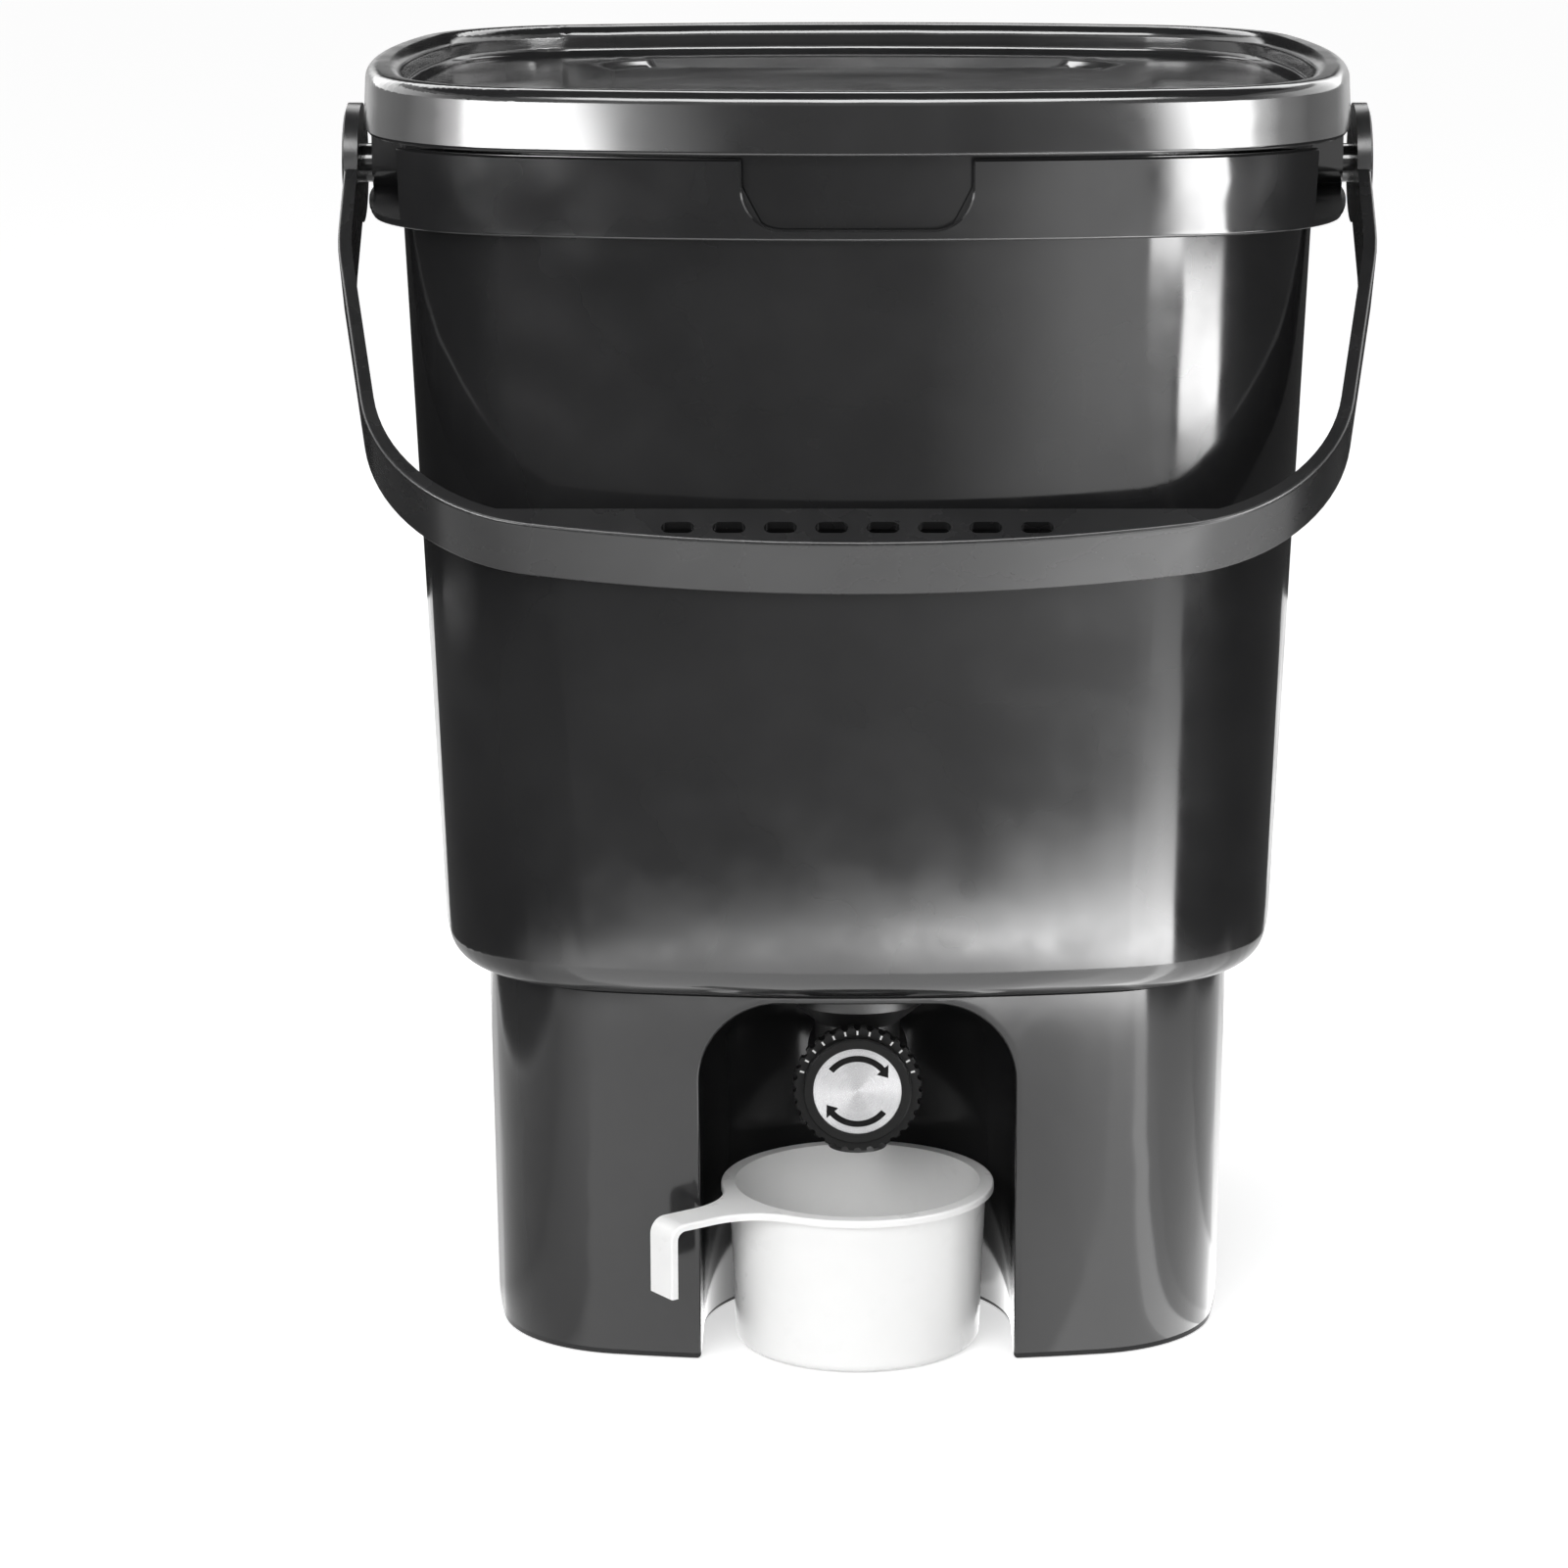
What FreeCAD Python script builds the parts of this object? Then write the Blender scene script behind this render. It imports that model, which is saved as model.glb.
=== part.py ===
import FreeCAD, Part
import math
import os

from FreeCAD import Vector

# Sizes are in millimetres and degrees. The caddy stands on Z = 0 and its front faces -Y.

# Bucket
BUCKET_WIDTH = 260.6        # side to side at the floor
BUCKET_DEPTH = 242.0        # front to back at the floor
BUCKET_HEIGHT = 256.5       # underside of the floor to the top of the rim flange
BUCKET_CORNER = 56.0        # plan radius of the corners at the floor
BUCKET_DRAFT = 2.4          # outward lean of the wall
SIDE_BOW = 420.0            # plan radius of the gently bowed sides
BUCKET_WALL = 3.0

# Shelf and apron round the top of the bucket
SHELF_DROP = 27.5           # top of the rim flange to the underside of the shelf
SHELF_THICKNESS = 2.2
SHELF_SIDE_REACH = 10.2     # how far the shelf stands out from the wall at the sides
SHELF_FRONT_REACH = 4.0     # and at the front and back
SHELF_CORNER = 60.0
APRON_GAP = 1.2             # between the apron's top edge and the lid's skirt
APRON_WALL = 2.5
APRON_FLARE = 0.8           # the apron leans out this far over its height
APRON_EDGE_BEVEL = 0.6
SHELF_EDGE_ROUND = 1.0
POCKET_LENGTH = 197.6       # opening in the apron at each side, for the handle
NOTCH_WIDTH = 66.0          # finger notch under the front of the lid
NOTCH_SILL = 1.0            # shelf to the bottom of the notch
NOTCH_CORNER = 11.5
NOTCH_EDGE_BEVEL = 0.5

# Rim that the lid closes over
FLANGE_THICKNESS = 3.0
UPSTAND_WALL = 2.5
UPSTAND_HEIGHT = 10.0

# Lid
LID_SIDE_OVERHANG = 1.2     # lid past the shelf at the sides
LID_FRONT_OVERHANG = 3.5    # and at the front and back
LID_CORNER = 62.0
LID_WALL = 2.5
LID_CLEARANCE = 0.6         # lid skirt to rim flange
LID_RIM_WIDTH = 11.0
LID_RIM_ROUND = 4.0
LID_EDGE_ROUND = 1.2        # lower edge of the skirt
LID_FLOOR_ROUND = 2.5       # round between the rim's inner wall and the lid's floor
LID_RECESS = 9.5            # rim top down to the lid's floor
LID_DRAFT = 1.0             # the skirt leans in this far over its height
PANEL_SIDE_BORDER = 44.3    # lid's rim to the sunk panel in its floor, at the sides
PANEL_FRONT_BORDER = 21.1   # and at the front and back
PANEL_CORNER = 26.0
PANEL_SINK = 2.2
PANEL_SLOPE = 8.0           # width of the panel's sloping border
SEAL_THICKNESS = 2.5
SEAL_CLEARANCE = 0.3

# Stand
STAND_HEIGHT = 116.0
STAND_STEP = 10.0           # the stand is set in this far from the bucket's front and back
STAND_SIDE_STEP = 12.8      # and from its sides
STAND_DRAFT = 0.8
STAND_WALL = 3.0
ALCOVE_WIDTH = 95.5
ALCOVE_STRAIGHT = 31.25     # front face of the stand to the start of the alcove's round end
CROWN_MARGIN = 1.25         # flat ceiling left round the tap's flange
ALCOVE_EDGE_ROUND = 1.2
SHOULDER_CHAMFER = 1.0      # narrow groove round the joint between bucket and stand
RIB_THICKNESS = 2.4
RIB_HEIGHT = 40.0

# Screws between stand and bucket
SCREW_SIDE_INSET = 42.3     # side of the bucket to the screws
SCREW_FRONT_INSET = 73.0    # and its front and back to the screws
SCREW_RADIUS = 2.0
SCREW_HEAD_RADIUS = 4.2
SCREW_HEAD_HEIGHT = 2.8
SCREW_HEAD_BEVEL = 1.2
SCREW_LENGTH = 14.0
SCREW_CLEARANCE = 0.2
SCREW_BITE = 0.02
BOSS_WALL = 4.0

# Tap
TAP_DROP = 27.0             # ceiling of the alcove to the tap's level axis
SPOUT_DROP = 26.0           # tap's axis to the end of the spout
WATERWAY_RADIUS = 7.0
TAIL_WALL = 5.0             # wall round the waterway in the threaded tail
TAIL_CLEARANCE = 0.4
TAIL_FIT = 0.02             # washers and nut on the tail
TAIL_STICKOUT = 1.0
NECK_WALL = 6.0
NECK_FLARE = 7.0            # height over which the neck opens out to its flange
SPOUT_WALL = 3.0
SPOUT_TIP_WALL = 2.0
WASHER_THICKNESS = 2.0
WASHER_WIDTH = 7.5
FLANGE_LEDGE = 2.0          # tap's flange past its washer
TAP_FLANGE_THICKNESS = 3.5
NUT_WALL = 5.0              # tail to the flats of the nut
NUT_HEIGHT = 8.0
PLUG_WALL = 4.0             # plug past the waterway
PLUG_CLEARANCE = 0.05
BARREL_WALL = 4.5
BARREL_END = 9.0            # barrel past the waterway at each end
O_RING_SECTION = 0.85       # radius of the ring's round section
O_RING_FLOAT = 0.05         # play of each ring in its groove
O_RING_INSET = 2.7          # end of the barrel to the middle of each ring
CLIP_THICKNESS = 1.2
CLIP_OVERHANG = 2.5         # clip past the plug
CLIP_GROOVE_DEPTH = 2.5
CLIP_MOUTH = 13.6
CLIP_END_GAP = 0.15
DRIVE_SQUARE = 10.0
DRIVE_LENGTH = 8.0

# Knob
KNOB_RADIUS = 19.5
KNOB_TEETH = 32
KNOB_TOOTH_RADIUS = 1.1
KNOB_DEPTH = 15.0
KNOB_FLANGE_THICKNESS = 3.5
KNOB_LEDGE = 3.15           # toothed flange past the ring in front of it
KNOB_RING_WALL = 3.05
KNOB_RING_HEIGHT = 3.0
KNOB_SKIRT_STEP = 0.65      # skirt behind the flange past the ring
KNOB_EDGE_BEVEL = 0.5
KNOB_CLEARANCE = 0.4
KNOB_SEAT_WALL = 1.4        # between the drive square and the screw's head
KNOB_SCREW_DEPTH = 10.0     # screw in the plug
KNOB_SCREW_ROOM = 4.0       # hole past the screw's tip
DISC_THICKNESS = 1.0
DISC_SETBACK = 0.5          # disc's face behind the ring's
DISC_CLEARANCE = 0.1
DRIVE_CLEARANCE = 0.1

# Handle
HANDLE_GAP = 2.4            # lid to the handle's arms
ARM_THICKNESS = 4.2
HANDLE_SWING_GAP = 15.9     # lid's front edge to the grip as it swings over the top
HANDLE_REST_GAP = 3.7       # bucket's front to the grip as it hangs
HANDLE_WIDTH = 22.0
HANDLE_EDGE_ROUND = 1.2
HANDLE_KNEE = 40.0          # straight part of each arm from the pivot
HANDLE_LEAN = 9.6           # inward lean of the arms past the knee
HANDLE_KNEE_RADIUS = 90.0
HANDLE_CORNER = 62.0
GRIP_BOW = 600.0
GRIP_WEB_DEPTH = 10.0
GRIP_WEB_THICKNESS = 3.0
GRIP_SLOTS = 8
GRIP_SLOT_PITCH = 14.8
GRIP_SLOT_LENGTH = 9.5
GRIP_SLOT_WIDTH = 4.4
GRIP_SLOT_MARGIN = 0.4      # strap to slot
HUB_RADIUS = 18.5
HUB_DOME = 0.8
HUB_BEVEL = 2.4
PIVOT_ABOVE_SHELF = 9.0     # underside of the shelf to the pivot
PIVOT_BOSS_RADIUS = 9.0
PIVOT_RADIUS = 6.0
PIVOT_CLEARANCE = 0.05
PIVOT_SKIN = 1.0            # pivot's end to the outer face of the arm
PIVOT_END_GAP = 0.45

# Strainer
STRAINER_GAP = 1.5          # plate to bucket wall
STRAINER_THICKNESS = 3.0
STRAINER_LEG = 22.0
STRAINER_LEG_RADIUS = 5.0
STRAINER_LEG_INSET = 28.0   # each stand screw to the leg beside it
SLOT_LENGTH = 26.0
SLOT_WIDTH = 5.0
SLOT_PITCH_X = 40.0
SLOT_PITCH_Y = 20.0
SLOT_MARGIN = 30.0          # least width of plate left round the slots

# Drip cup
CUP_GAP = 10.0              # cup's rim to the spout
CUP_SIDE_GAP = 5.75         # cup's rim to the sides of the alcove
CUP_STANDOUT = 15.0         # front of the rim past the stand's front face
CUP_RIM_LIP = 2.5           # rim past the wall
CUP_TAPER = 2.0
CUP_WALL = 1.8
CUP_RIM_THICKNESS = 2.2
CUP_BASE_ROUND = 3.0
CUP_RIM_ROUND = 0.7
CUP_HANDLE_ANGLE = 36.0     # in front of square to the left
CUP_HANDLE_LENGTH = 31.0    # past the rim
CUP_HANDLE_DROP = 23.0
CUP_HANDLE_WIDTH = 12.0
CUP_HANDLE_FLARE = 22.0     # radius where the strap opens out into the rim
CUP_HANDLE_BEND = 5.0

# How near an edge lies to a level or a face that it is picked by
PICK_TOLERANCE = 0.001

# Levels and outlines worked out from the sizes above
FLOOR_TOP = STAND_HEIGHT + BUCKET_WALL
FLANGE_TOP = STAND_HEIGHT + BUCKET_HEIGHT
SHELF_Z = FLANGE_TOP - SHELF_DROP
SHELF_TOP = SHELF_Z + SHELF_THICKNESS
SKIRT_Z = FLANGE_TOP - FLANGE_THICKNESS
APRON_TOP = SKIRT_Z - APRON_GAP
UPSTAND_TOP = FLANGE_TOP + UPSTAND_HEIGHT
LID_TOP = UPSTAND_TOP + SEAL_THICKNESS + LID_WALL
PIVOT_Z = SHELF_Z + PIVOT_ABOVE_SHELF
ALCOVE_TOP = STAND_HEIGHT - STAND_WALL
TAP_HEIGHT = ALCOVE_TOP - TAP_DROP
SPOUT_END = TAP_HEIGHT - SPOUT_DROP
CUP_HEIGHT = SPOUT_END - CUP_GAP


def wall_growth(z):
    """How far the leaning wall has moved out at height z, against its place at the floor."""
    return (z - STAND_HEIGHT) * math.tan(math.radians(BUCKET_DRAFT))


# Plan sizes and radii worked out from the sizes above
FLOOR_ROUND = STAND_STEP
SHELF_HALF_WIDTH = BUCKET_WIDTH / 2 + wall_growth(SHELF_Z) + SHELF_SIDE_REACH
SHELF_HALF_DEPTH = BUCKET_DEPTH / 2 + wall_growth(SHELF_Z) + SHELF_FRONT_REACH
LID_HALF_WIDTH = SHELF_HALF_WIDTH + LID_SIDE_OVERHANG
LID_HALF_DEPTH = SHELF_HALF_DEPTH + LID_FRONT_OVERHANG
PANEL_HALF_WIDTH = LID_HALF_WIDTH - LID_RIM_WIDTH - PANEL_SIDE_BORDER
PANEL_HALF_DEPTH = LID_HALF_DEPTH - LID_RIM_WIDTH - PANEL_FRONT_BORDER
STAND_FRONT = STAND_STEP - BUCKET_DEPTH / 2
SCREW_X = BUCKET_WIDTH / 2 - SCREW_SIDE_INSET
SCREW_Y = BUCKET_DEPTH / 2 - SCREW_FRONT_INSET

TAIL_RADIUS = WATERWAY_RADIUS + TAIL_WALL
NECK_RADIUS = WATERWAY_RADIUS + NECK_WALL
SPOUT_RADIUS = WATERWAY_RADIUS + SPOUT_WALL
SPOUT_TIP_RADIUS = WATERWAY_RADIUS + SPOUT_TIP_WALL
WASHER_RADIUS = TAIL_RADIUS + WASHER_WIDTH
FLANGE_RADIUS = WASHER_RADIUS + FLANGE_LEDGE
NUT_FLAT_RADIUS = TAIL_RADIUS + NUT_WALL
PLUG_RADIUS = WATERWAY_RADIUS + PLUG_WALL
BARREL_RADIUS = PLUG_RADIUS + BARREL_WALL
CLIP_RADIUS = PLUG_RADIUS + CLIP_OVERHANG
CLIP_GROOVE_RADIUS = PLUG_RADIUS - CLIP_GROOVE_DEPTH
ALCOVE_CROWN = ALCOVE_WIDTH / 2 - FLANGE_RADIUS - CROWN_MARGIN
TAP_Y = STAND_FRONT + ALCOVE_STRAIGHT
BARREL_FRONT = TAP_Y - WATERWAY_RADIUS - BARREL_END
BARREL_BACK = TAP_Y + WATERWAY_RADIUS + BARREL_END
KNOB_BACK = BARREL_FRONT - KNOB_CLEARANCE
KNOB_FRONT = KNOB_BACK - KNOB_DEPTH
KNOB_RING_RADIUS = KNOB_RADIUS - KNOB_LEDGE
KNOB_SKIRT_RADIUS = KNOB_RING_RADIUS + KNOB_SKIRT_STEP
DISC_RADIUS = KNOB_RING_RADIUS - KNOB_RING_WALL
DRIVE_FRONT = KNOB_BACK - DRIVE_LENGTH

ARM_INNER = LID_HALF_WIDTH + HANDLE_GAP
ARM_OUTER = ARM_INNER + ARM_THICKNESS
PIVOT_END = ARM_OUTER - PIVOT_SKIN
GRIP_INNER = math.hypot(LID_HALF_DEPTH, LID_TOP - PIVOT_Z) + HANDLE_SWING_GAP
HANDLE_REACH = GRIP_INNER + GRIP_WEB_DEPTH + ARM_THICKNESS

CUP_RIM_RADIUS = ALCOVE_WIDTH / 2 - CUP_SIDE_GAP
CUP_TOP_RADIUS = CUP_RIM_RADIUS - CUP_RIM_LIP
CUP_BASE_RADIUS = CUP_TOP_RADIUS - CUP_TAPER
CUP_HANDLE_REACH = CUP_RIM_RADIUS + CUP_HANDLE_LENGTH
CUP_Y = STAND_FRONT - CUP_STANDOUT + CUP_RIM_RADIUS


def hanging_tilt():
    """Angle of the arms below the level where the grip's web hangs its rest gap off the leaning front."""
    slope = math.tan(math.radians(BUCKET_DRAFT))
    web_low = HANDLE_WIDTH / 2 - GRIP_WEB_THICKNESS
    level = GRIP_INNER - slope * web_low
    upright = slope * GRIP_INNER + web_low
    wall = BUCKET_DEPTH / 2 + wall_growth(PIVOT_Z) + HANDLE_REST_GAP
    return math.degrees(math.acos(wall / math.hypot(level, upright)) + math.atan2(upright, level))


def bowed_outline(half_width, half_depth, corner, z, grow=0.0):
    """Closed outline at height z: four bowed sides and four round corners, moved out evenly by grow."""
    half_width += grow
    half_depth += grow
    radius = corner + grow
    bow = SIDE_BOW + grow
    reach = bow - radius
    back = Vector(0, half_depth - bow, z)
    side = Vector(half_width - bow, 0, z)
    across = side - back
    out = Vector(across.y, -across.x, 0).normalize()
    centre = (side + back) * 0.5 + out * math.sqrt(reach ** 2 - across.Length ** 2 / 4)
    on_back = back + (centre - back) * (bow / reach)
    on_side = side + (centre - side) * (bow / reach)
    on_corner = centre + (on_back + on_side - centre * 2).normalize() * radius

    def at(point, x_sign, y_sign):
        return Vector(point.x * x_sign, point.y * y_sign, z)

    edges = []
    for sx, sy in ((1, 1), (-1, 1), (-1, -1), (1, -1)):
        corner_arc = [at(on_side, sx, sy), at(on_corner, sx, sy), at(on_back, sx, sy)]
        if sx == sy:
            side_arc = [at(on_side, sx, -sy), Vector(sx * half_width, 0, z), at(on_side, sx, sy)]
            edges += [Part.Arc(*side_arc).toShape(), Part.Arc(*corner_arc).toShape()]
        else:
            end_arc = [at(on_back, -sx, sy), Vector(0, sy * half_depth, z), at(on_back, sx, sy)]
            edges += [Part.Arc(*end_arc).toShape(), Part.Arc(*reversed(corner_arc)).toShape()]
    return Part.Wire(edges)


def bucket_outline(z, grow=0.0):
    return bowed_outline(BUCKET_WIDTH / 2, BUCKET_DEPTH / 2, BUCKET_CORNER, z, wall_growth(z) + grow)


def shelf_outline(z, grow=0.0):
    return bowed_outline(SHELF_HALF_WIDTH, SHELF_HALF_DEPTH, SHELF_CORNER, z, grow)


def lid_outline(z, grow=0.0):
    lean = LID_DRAFT * (z - SKIRT_Z) / (LID_TOP - SKIRT_Z)
    return bowed_outline(LID_HALF_WIDTH, LID_HALF_DEPTH, LID_CORNER, z, grow - lean)


def stand_outline(z, grow=0.0):
    lean = (STAND_HEIGHT - z) * math.tan(math.radians(STAND_DRAFT))
    inset = STAND_STEP + lean
    half_width = BUCKET_WIDTH / 2 + STAND_STEP - STAND_SIDE_STEP
    return bowed_outline(half_width, BUCKET_DEPTH / 2, BUCKET_CORNER, z, grow - inset)


def block(outline, low, high, grow=0.0):
    """Solid with straight-ruled sides between an outline at one height and at another."""
    return Part.makeLoft([outline(low, grow), outline(high, grow)], True, True)


def box(x0, x1, y0, y1, z0, z1):
    return Part.makeBox(x1 - x0, y1 - y0, z1 - z0, Vector(x0, y0, z0))


def rod(radius, start, end):
    """Round bar from one point to another."""
    axis = end - start
    return Part.makeCylinder(radius, axis.Length, start, axis)


def cone(radius_start, radius_end, start, end):
    axis = end - start
    return Part.makeCone(radius_start, radius_end, axis.Length, start, axis)


def edges_at(shape, axis, place):
    """Edges of a shape that lie wholly at one place along an axis, X, Y or Z."""
    picked = []
    for edge in shape.Edges:
        span = edge.BoundBox
        ends = (getattr(span, axis + "Min"), getattr(span, axis + "Max"))
        if max(abs(end - place) for end in ends) < PICK_TOLERANCE:
            picked.append(edge)
    return picked


def level_edges(shape, z):
    return edges_at(shape, "Z", z)


def facing_edges(shape, y):
    return edges_at(shape, "Y", y)


def lies_on(edge, skin):
    """Whether an edge follows a wire or a shell over its whole length."""
    first, last = edge.ParameterRange
    steps = (0.1, 0.5, 0.9)
    points = [edge.valueAt(first + (last - first) * step) for step in steps]
    return all(Part.Vertex(point).distToShape(skin)[0] < PICK_TOLERANCE for point in points)


def edges_on(shape, *skins):
    """Edges of a shape that follow every one of some wires or shells."""
    return [edge for edge in shape.Edges if all(lies_on(edge, skin) for skin in skins)]


def slot_cutter(length, width, x, y, z0, z1):
    """Upright cutter for an oblong slot that runs along X."""
    radius = width / 2
    half = length / 2 - radius
    middle = box(x - half, x + half, y - radius, y + radius, z0, z1)
    ends = [rod(radius, Vector(x + s * half, y, z0), Vector(x + s * half, y, z1)) for s in (-1, 1)]
    return middle.fuse(ends)


def make_bucket():
    outer = block(bucket_outline, STAND_HEIGHT, FLANGE_TOP)
    outer = outer.makeFillet(FLOOR_ROUND, level_edges(outer, STAND_HEIGHT))
    inner = block(bucket_outline, FLOOR_TOP, FLANGE_TOP, -BUCKET_WALL)
    inner = inner.makeFillet(FLOOR_ROUND - BUCKET_WALL, level_edges(inner, FLOOR_TOP))

    shelf = block(shelf_outline, SHELF_Z, SHELF_TOP)
    shelf = shelf.makeFillet(SHELF_EDGE_ROUND, level_edges(shelf, SHELF_Z))
    flange = block(lid_outline, SKIRT_Z, FLANGE_TOP, -LID_WALL - LID_CLEARANCE)
    # The upstand runs along the middle of the lid's rim
    upstand = block(lid_outline, FLANGE_TOP, UPSTAND_TOP, (UPSTAND_WALL - LID_RIM_WIDTH) / 2)
    upstand = upstand.cut(block(lid_outline, FLANGE_TOP, UPSTAND_TOP, -(UPSTAND_WALL + LID_RIM_WIDTH) / 2))

    solid = outer.fuse([shelf, make_apron(outer), flange])
    solid = solid.fuse(make_pivots())
    solid = solid.cut(inner).fuse(upstand)
    solid = solid.fuse([screw_boss(x, y) for x, y in screw_places()])
    solid = solid.cut([screw_hole(x, y) for x, y in screw_places()])
    return solid.cut(tail_hole(STAND_HEIGHT, FLOOR_TOP)).removeSplitter()


def make_apron(bucket):
    """Front and back walls that stand on the shelf's edge, closed back to the bucket at their ends."""
    outside = Part.makeLoft([shelf_outline(SHELF_TOP), shelf_outline(APRON_TOP, APRON_FLARE)], True, True)
    outside = outside.makeChamfer(APRON_EDGE_BEVEL, level_edges(outside, APRON_TOP))
    inner_low = shelf_outline(SHELF_TOP, -APRON_WALL)
    inner_high = shelf_outline(APRON_TOP, APRON_FLARE - APRON_WALL)
    inside = Part.makeLoft([inner_low, inner_high], True, True)
    far = SHELF_HALF_WIDTH + SHELF_HALF_DEPTH
    pocket = box(-far, far, -POCKET_LENGTH / 2, POCKET_LENGTH / 2, SHELF_TOP, APRON_TOP)
    room = POCKET_LENGTH / 2 + APRON_WALL
    inner_room = inside.cut(box(-far, far, -room, room, SHELF_TOP, APRON_TOP))
    notch = make_notch()
    apron = outside.cut([pocket, inner_room, notch])
    notch_edges = edges_on(apron, outside.Shells[0], notch.Shells[0])
    return apron.makeChamfer(NOTCH_EDGE_BEVEL, notch_edges).cut(bucket)


def make_notch():
    """Cutter for the finger notch: straight sides that round into a flat sill."""
    sill = SHELF_TOP + NOTCH_SILL
    half = NOTCH_WIDTH / 2
    y = -SHELF_HALF_DEPTH - APRON_WALL
    depth = 2 * APRON_WALL + APRON_FLARE
    cutter = box(-half, half, y, y + depth, sill, APRON_TOP)
    corners = [edge for edge in level_edges(cutter, sill) if edge.BoundBox.YLength > depth / 2]
    return cutter.makeFillet(NOTCH_CORNER, corners)


def make_pivots():
    """A boss at each side, carried up to the lid, with the round stud that the handle turns on."""
    pieces = []
    for sign in (-1, 1):
        wall = sign * (BUCKET_WIDTH / 2)
        face = sign * SHELF_HALF_WIDTH
        tip = sign * PIVOT_END
        pieces.append(rod(PIVOT_BOSS_RADIUS, Vector(wall, 0, PIVOT_Z), Vector(face, 0, PIVOT_Z)))
        half = PIVOT_BOSS_RADIUS
        pieces.append(box(min(wall, face), max(wall, face), -half, half, PIVOT_Z, APRON_TOP))
        pieces.append(rod(PIVOT_RADIUS, Vector(face, 0, PIVOT_Z), Vector(tip, 0, PIVOT_Z)))
    return pieces


def screw_places():
    return [(sx * SCREW_X, sy * SCREW_Y) for sx in (-1, 1) for sy in (-1, 1)]


def tail_hole(low, high):
    return rod(TAIL_RADIUS + TAIL_CLEARANCE, Vector(0, TAP_Y, low), Vector(0, TAP_Y, high))


def screw_boss(x, y):
    top = ALCOVE_TOP + SCREW_LENGTH + BOSS_WALL
    return rod(SCREW_RADIUS + BOSS_WALL, Vector(x, y, STAND_HEIGHT + BUCKET_WALL / 2), Vector(x, y, top))


def screw_hole(x, y):
    top = ALCOVE_TOP + SCREW_LENGTH
    return rod(SCREW_RADIUS + SCREW_BITE, Vector(x, y, STAND_HEIGHT), Vector(x, y, top))


def make_stand_screws():
    screws = []
    for x, y in screw_places():
        seat = Vector(x, y, ALCOVE_TOP)
        shank = rod(SCREW_RADIUS, seat, seat + Vector(0, 0, SCREW_LENGTH))
        head = rod(SCREW_HEAD_RADIUS, seat - Vector(0, 0, SCREW_HEAD_HEIGHT), seat)
        head = head.makeChamfer(SCREW_HEAD_BEVEL, level_edges(head, ALCOVE_TOP - SCREW_HEAD_HEIGHT))
        screws.append(shank.fuse(head).removeSplitter())
    return Part.makeCompound(screws)


def arch_room(grow):
    """The alcove's room, moved out evenly by grow: a vault with a half-round, domed back end."""
    crown = ALCOVE_CROWN + grow
    top = ALCOVE_TOP + grow
    side = ALCOVE_WIDTH / 2 + grow
    bend = crown * math.sqrt(0.5)
    springing = Vector(side, TAP_Y, top - crown)
    crest = Vector(side - crown, TAP_Y, top)
    shoulder = Vector(side - crown + bend, TAP_Y, top - crown + bend)
    foot = Vector(side, TAP_Y, 0)
    axis_low = Vector(0, TAP_Y, 0)
    axis_high = Vector(0, TAP_Y, top)
    half_arch = Part.Face(
        Part.Wire(
            [
                Part.LineSegment(foot, springing).toShape(),
                Part.Arc(springing, shoulder, crest).toShape(),
                Part.LineSegment(crest, axis_high).toShape(),
                Part.LineSegment(axis_high, axis_low).toShape(),
                Part.LineSegment(axis_low, foot).toShape(),
            ]
        )
    )
    round_end = half_arch.revolve(axis_low, Vector(0, 0, 1), 180)
    vault = half_arch.extrude(Vector(0, STAND_FRONT - STAND_STEP - TAP_Y, 0))
    mirrored = vault.mirror(Vector(0, 0, 0), Vector(1, 0, 0))
    return round_end.fuse([vault, mirrored]).removeSplitter()


def make_stand():
    skirt = block(stand_outline, 0, STAND_HEIGHT)
    skirt = skirt.makeChamfer(SHOULDER_CHAMFER, level_edges(skirt, STAND_HEIGHT))
    hollow = block(stand_outline, 0, ALCOVE_TOP, -STAND_WALL)
    room = arch_room(0.0)
    lining = arch_room(STAND_WALL).common(skirt)
    rib_low = ALCOVE_TOP - RIB_HEIGHT
    rib_half = RIB_THICKNESS / 2
    reach = BUCKET_WIDTH / 2
    back_rib = box(-rib_half, rib_half, 0, -STAND_FRONT, rib_low, ALCOVE_TOP)
    cross_rib = box(-reach, reach, -rib_half, rib_half, rib_low, ALCOVE_TOP)
    ribs = back_rib.fuse(cross_rib).common(skirt)
    solid = skirt.cut(hollow).fuse([lining, ribs]).cut(room).removeSplitter()
    solid = solid.makeFillet(ALCOVE_EDGE_ROUND, edges_on(solid, skirt.Shells[0], room.Shells[0]))
    holes = [tail_hole(ALCOVE_TOP, STAND_HEIGHT)]
    screw_room = SCREW_RADIUS + SCREW_CLEARANCE
    for x, y in screw_places():
        holes.append(rod(screw_room, Vector(x, y, ALCOVE_TOP), Vector(x, y, STAND_HEIGHT)))
    return solid.cut(holes).removeSplitter()


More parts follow.
